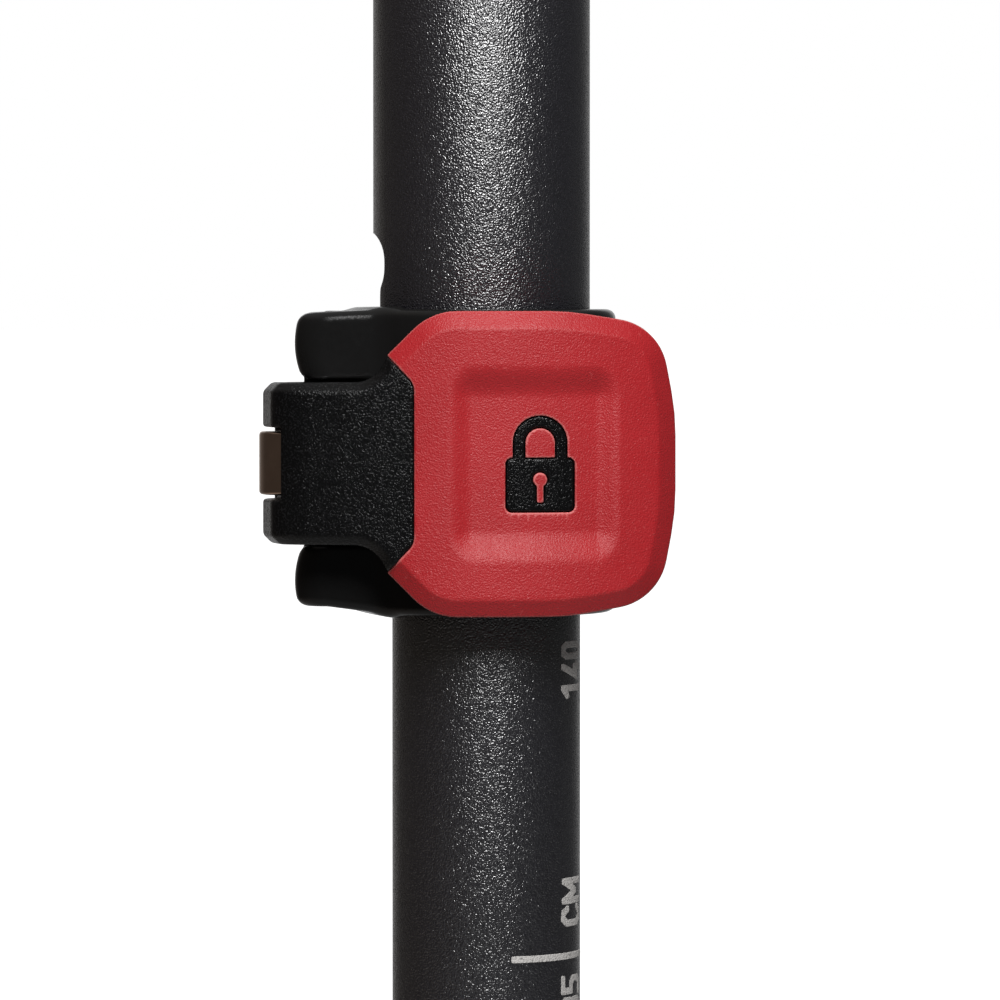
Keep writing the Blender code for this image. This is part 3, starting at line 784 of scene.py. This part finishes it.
def arc_points(centre, radius, first, last, count):
    """Points on a circle from one angle to another, in degrees from +X."""
    turns = [math.radians(first + (last - first) * step / count) for step in range(count + 1)]
    return [(centre[0] + radius * math.cos(turn), centre[1] + radius * math.sin(turn)) for turn in turns]


cam_points = []
for angle in range(cam_first, cam_last + 1, cam_step):
    share = min(max((angle - 90) / swing, 0), 1)
    radius = cam_closed + (cam_open - cam_closed) * share
    turn = math.radians(angle)
    cam_points.append((pivot.x + radius * math.cos(turn), pivot.y + radius * math.sin(turn)))
arm_points = arc_points((arc_x, arc_y), arm_front, arm_first, arm_last, 24)
inner_points = arc_points((arc_x, arc_y), arm_back, arm_last, arm_back_first, 24)
hub_front = []
for share, swell in ((0.25, 0.25), (0.5, 0.35), (0.75, 0.25)):
    hub_front.append(hub_corner.lerp(Vector(arm_points[0]), share) - Vector((0, swell)))
wall_end = hub_corner.lerp(Vector(cam_points[-1]), 0.35)
hub_round = []
for step in range(6):
    near, far = wall_end.lerp(hub_corner, step / 6), hub_corner.lerp(hub_front[0], step / 6)
    hub_round.append(near.lerp(far, step / 6))
lever_plan = cam_points + [tuple(point) for point in hub_round + hub_front] + arm_points + inner_points

tip_x, tip_z = -7.75, 8.95
border_x, border_half, border_round = -5.55, 6.65, 1.5
pad_half, pad_right = 12.7, 16.29
shoulder_x, shoulder_round = -4.1, 5.2
crown_x, side_z, crown_round = 7.2, 4.2, 20  # the top and right edges are nearly straight
corner_in, corner_down, corner_round = 1.4, 1.22, 4.8
chamfer_wide = 1.45


def rounded_corners(corners):
    """Outline points of a polygon whose corners are (x, z, radius)."""
    points = []
    for index, (x, z, radius) in enumerate(corners):
        corner = Vector((x, z))
        back = (Vector(corners[index - 1][:2]) - corner).normalized()
        ahead = (Vector(corners[(index + 1) % len(corners)][:2]) - corner).normalized()
        half = back.angle(ahead) / 2
        if radius == 0:
            points.append((x, z))
            continue
        centre = corner + (back + ahead).normalized() * radius / math.sin(half)
        start = corner + back * radius / math.tan(half) - centre
        end = corner + ahead * radius / math.tan(half) - centre
        sweep = math.atan2(start.x * end.y - start.y * end.x, start.dot(end))
        steps = max(2, math.ceil(abs(sweep) / 0.12))
        for step in range(steps + 1):
            turn = sweep * step / steps
            points.append(
                (
                    centre.x + start.x * math.cos(turn) - start.y * math.sin(turn),
                    centre.y + start.x * math.sin(turn) + start.y * math.cos(turn),
                )
            )
    return points


def both_halves(upper):
    return upper + [(x, -z, radius) for x, z, radius in reversed(upper)]


def pad_corners(inset):
    """The pad's corners from its upper left diagonal round to the lower one."""
    diagonal = inset * (math.sqrt(2) - 1)
    right, top = pad_right - inset, pad_half - inset
    upper = [
        (shoulder_x + diagonal, top, shoulder_round - inset),
        (crown_x, top, crown_round),
        (right - corner_in, top - corner_down, corner_round - inset),
        (right, side_z, crown_round),
    ]
    return both_halves(upper)


upper_flank = [(-20, hub_half, 0), (-9.0, hub_half, 2.8), (-7.85, 8.8, 0.1), (-6.2, 10.3, 0)]
lower_flank = [(x, -z, radius) for x, z, radius in reversed(upper_flank)]
lever_view = rounded_corners(upper_flank + pad_corners(chamfer_wide) + lower_flank)
border = rounded_corners(
    [(tip_x - 20, 30, 0), (tip_x - 20, tip_z + 20.9, 0)]
    + [(border_x, border_half, border_round), (border_x, -border_half, border_round)]
    + [(tip_x - 20, -tip_z - 20.9, 0), (tip_x - 20, -30, 0), (40, -30, 0), (40, 30, 0)]
)
open_way = math.radians(90 + swing)
fork_side = (pivot.x - math.sin(open_way) * shank, pivot.y + math.cos(open_way) * shank)
fork_far = (fork_side[0] + 10 * math.cos(open_way), fork_side[1] + 10 * math.sin(open_way))
eye_room = 4.3
fork_opening = math.degrees(math.acos(shank / eye_room))
fork_outline = [(pivot.x + shank, pivot.y + 10)]
fork_outline += arc_points(pivot, eye_room, fork_opening, 90 + swing + fork_opening - 360, 30)
fork_outline += [fork_far, (pivot.x - 10, pivot.y + 10)]

mark_x = 4.9


def padlock_distance(x, z):
    """A closed padlock: a rounded body with a keyhole, and a shackle over it."""
    u, v = x - mark_x, z
    body = rounded_box(u, v + 1.75, 2.85, 2.25, 0.5)
    bow = np.abs(np.hypot(u, v - 1.75) - 1.75) - 0.5
    bow = np.where(v > 1.75, bow, np.maximum(np.abs(np.abs(u) - 1.75) - 0.5, -0.2 - v))
    hole = np.minimum(np.hypot(u, v + 1.3) - 0.62, rounded_box(u, v + 2.35, 0.3, 0.9, 0.15))
    return np.maximum(np.minimum(body, bow), -hole)


def lever_distance(x, y, z):
    plan = outline_distance(lever_plan, x, y)
    view = outline_distance(lever_view, x, z)
    chamfer = (plan + view + 0.75) * math.sqrt(0.5)
    solid = meet(meet(plan, view, 0.12), chamfer, 0.15)
    radial = np.hypot(x - arc_x, y - arc_y)
    under_pad = meet(outline_distance(border, x, z), pad_inner - 0.05 - radial, 0.05)
    solid = meet(solid, -under_pad, 0.12)
    fork = meet(outline_distance(fork_outline, x, y), slab(z, -fork_half, fork_half), 0.05)
    solid = meet(solid, -fork, 0.25)
    bore = np.hypot(x - pivot.x, y - pivot.y) - pin_bore
    solid = meet(solid, -bore, 0.1)
    post = meet(padlock_distance(x, z) + 0.04, slab(radial, arm_back + 0.5, post_front), 0.06)
    return np.minimum(solid, post)


def grain_height(wire):
    return wire.noise(wire.place(), 6.2, detail=1.0, roughness=0.6)


def grain_color(wire):
    return grain_height(wire).step(0.5, 0.75).mix((0.003, 0.003, 0.0032), (0.0125, 0.0125, 0.0135))


grained_nylon = finish(
    "grained_nylon",
    grain_color,
    lambda wire: wire.noise(wire.place(), 3, detail=2) * 0.2 + 0.12,
    lambda wire: wire.bump(grain_height(wire), 0.075),
    Specular_IOR_Level=0.22,
)
lever_mesh = moulded("lever_moulding", lever_distance, lever_low, lever_high, cell=0.14, keep=0.4)
add("lever_moulding", lever_mesh, grained_nylon, "lever", "grained_black_nylon", "lever_body")

# ------------------------------------------------------------------------------------------
# Thumb pad: red nylon moulded over the lever's plate as a shallow cap, its rim chamfered and
# its face dished for the thumb. A padlock is left open in it, and the black lever shows.

pad_low, pad_high = span("lever_pad")
chamfer_deep = 0.85
dish_x, dish_half_x, dish_half_z = 4.45, 6.15, 6.9
dish_slope_x, dish_slope_z = 2.2, 2.9
dish_deep = 0.85
pad_point = [(-16.9, 0, 0)]  # where the pad's two diagonals would meet
pocket_inset = 1.3
pad_edge = rounded_corners(pad_point + pad_corners(0))
pad_pocket = rounded_corners(pad_point + pad_corners(pocket_inset))


def smooth(value):
    value = np.clip(value, 0, 1)
    return value * value * (3 - 2 * value)


def pad_distance(x, y, z):
    radial = np.hypot(x - arc_x, y - arc_y)
    across = (dish_half_x - np.abs(x - dish_x)) / dish_slope_x + 0.5
    along = (dish_half_z - np.abs(z)) / dish_slope_z + 0.5
    near = 1 - np.sqrt(np.clip(1 - across, 0, 3) ** 2 + np.clip(1 - along, 0, 3) ** 2)
    dish = dish_deep * smooth(near)
    top = radial - (pad_outer - dish)
    edge = outline_distance(pad_edge, x, z)
    size = chamfer_wide * chamfer_deep / math.hypot(chamfer_wide, chamfer_deep)
    chamfer = ((radial - pad_outer) / chamfer_deep + edge / chamfer_wide + 1) * size
    solid = meet(meet(top, edge, 0.1), chamfer, 0.07)
    solid = meet(solid, arm_back + 0.4 - radial, 0.12)
    solid = meet(solid, outline_distance(border, x, z), 0.12)
    pocket = meet(radial - pad_inner, np.minimum(outline_distance(pad_pocket, x, z), x + 5.2), 0.1)
    solid = meet(solid, -pocket, 0.1)
    window = padlock_distance(x, z) - 0.03
    return meet(solid, -window, 0.07)


def red_color(wire):
    where = wire.place()
    cloud = wire.noise(where, 0.12, detail=4).step(0.3, 0.7)
    speck = wire.noise(where, 2.6, detail=2).step(0.66, 0.72)
    base = cloud.mix((0.44, 0.0145, 0.0195), (0.49, 0.0175, 0.0235))
    base = (speck * 0.35).mix(base, (0.66, 0.1, 0.1))
    # Painted highlight: a pale red is mixed in along the outer edges and chamfer lines, standing in for
    # light caught by their rounding.
    return (wire.painted_highlight_edge(0.03, 0.14) * 0.8).mix(base, (0.75, 0.2, 0.19))


def red_bump(wire):
    where = wire.place()
    fine = wire.noise(where, 7, detail=1, roughness=0.6)
    scuff = wire.noise(where, 0.5, detail=3, stretch=(1, 1, 4)).step(0.6, 0.75)
    return wire.bump(scuff, 0.008, under=wire.bump(fine, 0.07))


red_nylon = finish(
    "red_nylon",
    red_color,
    lambda wire: wire.noise(wire.place(), 0.9, detail=4) * 0.2 + 0.38,
    red_bump,
)
pad_mesh = moulded("thumb_pad", pad_distance, pad_low, pad_high, cell=0.11, keep=0.35)
add("thumb_pad", pad_mesh, red_nylon, "lever", "red_nylon", "lever_pad")

# ------------------------------------------------------------------------------------------
# Pivot pin, swing bolt, washer and nut: the pin is ground steel; the bolt is browned steel
# with its eye round the pin and its thread through the nut, which has a nylon locking ring.

bolt_low, bolt_high = span("swing_bolt")
browned_steel = bare_metal("browned_steel", (0.6, 0.45, 0.36), 0.1, (1, 1, 3))


def ground_pin():
    radius = (pin_high.x - pin_low.x) / 2
    profile = eased([(radius, pin_high.z), (radius, pin_low.z)], 0.2)
    return turned("ground_pin", [(0, pin_high.z)] + profile + [(0, pin_low.z)], 64)


pin_mesh = placed(ground_pin(), Matrix.Translation((pivot.x * UNIT, pivot.y * UNIT, 0)))
add("ground_pin", pin_mesh, bright_steel, "lever", "bright_steel", "pivot_pin")

eye_radius = pivot.x - bolt_low.x
eye_half = bolt_high.z
thread_radius = 1.98
thread_pitch = 0.7
thread_depth = 0.38
thread_crest, thread_root = 0.12, 0.9  # where the thread's flanks end, as shares of its depth
thread_start = plate_high.y + 2.0


def bolt_distance(x, y, z):
    radial = np.hypot(x - pivot.x, y - pivot.y)
    eye = meet(radial - eye_radius, slab(z, -eye_half, eye_half), 0.3)
    across = np.hypot(x - pivot.x, z)
    turn = np.arctan2(z, x - pivot.x) / (2 * math.pi)
    phase = np.abs(((y / thread_pitch + turn) % 1) * 2 - 1)
    depth = thread_depth * np.clip(phase, thread_crest, thread_root) * smooth((y - thread_start) / 0.6)
    chamfer = (across - thread_radius + y - bolt_high.y + 0.6) * math.sqrt(0.5)
    rod = np.maximum(np.maximum((across - thread_radius + depth) * 0.75, chamfer), y - bolt_high.y)
    rod = np.maximum(rod, pivot.y - y)
    return meet(join(eye, rod, 0.5), pin_bore - radial, 0.1)


bolt_mesh = moulded("eye_bolt", bolt_distance, bolt_low, bolt_high, cell=0.09, keep=0.5)
add("eye_bolt", bolt_mesh, browned_steel, "draw_bolt", "browned_steel", "swing_bolt")

washer_low, washer_high = span("nut_washer")
nut_low, nut_high = span("tension_nut")
lock_low, lock_high = span("nut_lock_ring")
lay_along_bolt = Matrix.Translation((pivot.x * UNIT, 0, 0)) @ Matrix.Rotation(-math.pi / 2, 4, "X")


def washer_profile():
    outer, inner = (washer_high.x - washer_low.x) / 2, 2.2
    top, foot = washer_high.y, washer_low.y
    return eased([(outer, top), (outer, foot), (inner, foot), (inner, top)], 0.15)


washer_mesh = placed(turned("plain_washer", washer_profile(), 96, closed=True), lay_along_bolt)
add("plain_washer", washer_mesh, bright_steel, "draw_bolt", "bright_steel", "nut_washer")

flats = (nut_high.x - nut_low.x) / 2
corner = flats / math.cos(math.radians(30))
collar_tall = 1.0
cone_slope = 0.5
nut_bore = 2.1


def nut_distance(x, y, z):
    u, v = x - pivot.x, z
    across = np.hypot(u, v)
    hexagon = np.abs(u)
    for turn in (60, 120):
        way = math.radians(turn)
        hexagon = np.maximum(hexagon, np.abs(u * math.cos(way) + v * math.sin(way)))
    lip = nut_high.y - collar_tall
    prism_part = meet(hexagon - flats, slab(y, nut_low.y, lip), 0.06)
    for face, way in ((nut_low.y, -1), (lip, 1)):
        cone = ((across - corner) * cone_slope + (y - face) * way + 0.42) * 0.894
        prism_part = np.maximum(prism_part, cone)
    dome = meet(across - flats + 0.35, slab(y, nut_low.y + 1, nut_high.y), 0.35)
    well = meet(across - (lock_high.x - lock_low.x) / 2, lock_low.y - 0.1 - y, 0.05)
    solid = join(prism_part, dome, 0.15)
    return meet(meet(solid, -well, 0.1), nut_bore - across, 0.12)


nut_mesh = moulded("hexagon_nut", nut_distance, nut_low, nut_high, cell=0.1, keep=0.4)
add("hexagon_nut", nut_mesh, bright_steel, "nut", "bright_steel", "tension_nut")

lock_outer, lock_inner = (lock_high.x - lock_low.x) / 2 - 0.02, 2.05
lock_profile = [(lock_outer, lock_high.y - 0.25), (lock_outer, lock_low.y), (lock_inner, lock_low.y)]
lock_profile += [(lock_inner, lock_high.y - 0.25)]
lock_mesh = placed(turned("locking_ring", eased(lock_profile, 0.1), 64, closed=True), lay_along_bolt)
add("locking_ring", lock_mesh, natural_nylon, "nut", "natural_nylon", "nut_lock_ring")

# ------------------------------------------------------------------------------------------
# Studio: a pale floor below the tubes, a white surround, a tall soft light in front and a
# little to the right, and the camera at the thumb pad's height.

floor_drop = 20 * UNIT
bpy.ops.mesh.primitive_plane_add(size=40, location=(0, 0, cad_box[0][2] - floor_drop))
floor = bpy.context.object
floor.name = "studio_floor"
floor_paint = finish(
    "floor_paint",
    lambda wire: wire.noise(wire.place(), 0.003, detail=2).mix((0.9, 0.9, 0.9), (0.93, 0.93, 0.93)),
    0.8,
    Emission_Color=(1, 1, 1, 1),
    Emission_Strength=1.0,
)
floor.data.materials.append(floor_paint)
floor.visible_diffuse = False
floor.visible_glossy = False

world = bpy.data.worlds.new("studio")
world.use_nodes = True
sky = Wire(world.node_tree)
across = sky.node("ShaderNodeSeparateXYZ", Vector=sky.node("ShaderNodeTexCoord"))
toward_x, toward_y, toward_z = (Wire(world.node_tree, socket) for socket in across.socket.node.outputs)
behind = toward_y.step(0.88, 0.99)
below = (0 - toward_z).step(0.3, 0.75)
above = toward_z.step(0.5, 0.9)
aside = toward_y.step(0.55, 0.95)
level = behind * 0.6 + aside * 0.12 + below * 0.3 + above * 0.35 + 0.055
warm = (0 - toward_x).step(0.2, 0.9).mix((1, 1, 1), (1, 0.86, 0.76))
seen = sky.node("ShaderNodeLightPath", output="Is Camera Ray")
background = world.node_tree.nodes["Background"]
world.node_tree.links.new(seen.mix(warm, (1, 1, 1)).socket, background.inputs["Color"])
strength = level * (1 - seen) + seen
world.node_tree.links.new(strength.socket, background.inputs["Strength"])
bpy.context.scene.world = world


def soft_light(name, place, size, radiance):
    """A rectangular soft box that faces the clamp, in watts per square metre and steradian."""
    light = bpy.data.lights.new(name, "AREA")
    light.shape = "RECTANGLE"
    light.size, light.size_y = Vector(size) * UNIT
    light.energy = radiance * math.pi * light.size * light.size_y
    holder = bpy.data.objects.new(name, light)
    holder.location = Vector(place) * UNIT
    holder.rotation_euler = (-holder.location).to_track_quat("-Z", "Y").to_euler()
    bpy.context.scene.collection.objects.link(holder)


soft_light("key_light", (50, -410, 330), (105, 290), 31)

camera_data = bpy.data.cameras.new("studio_camera")
camera_reach = 6.644  # its distance over the width of what it sees
camera_tilt = 1.681  # degrees below level
camera_data.sensor_width = 36
camera_data.lens = camera_data.sensor_width * camera_reach
camera_data.clip_start = 0.01
camera = bpy.data.objects.new("studio_camera", camera_data)
camera.location = Vector((1.57, -565, 13.2)) * UNIT
camera.rotation_euler = (math.radians(90 - camera_tilt), 0, 0)
bpy.context.scene.collection.objects.link(camera)
bpy.context.scene.camera = camera
bpy.context.scene.view_settings.view_transform = "Standard"
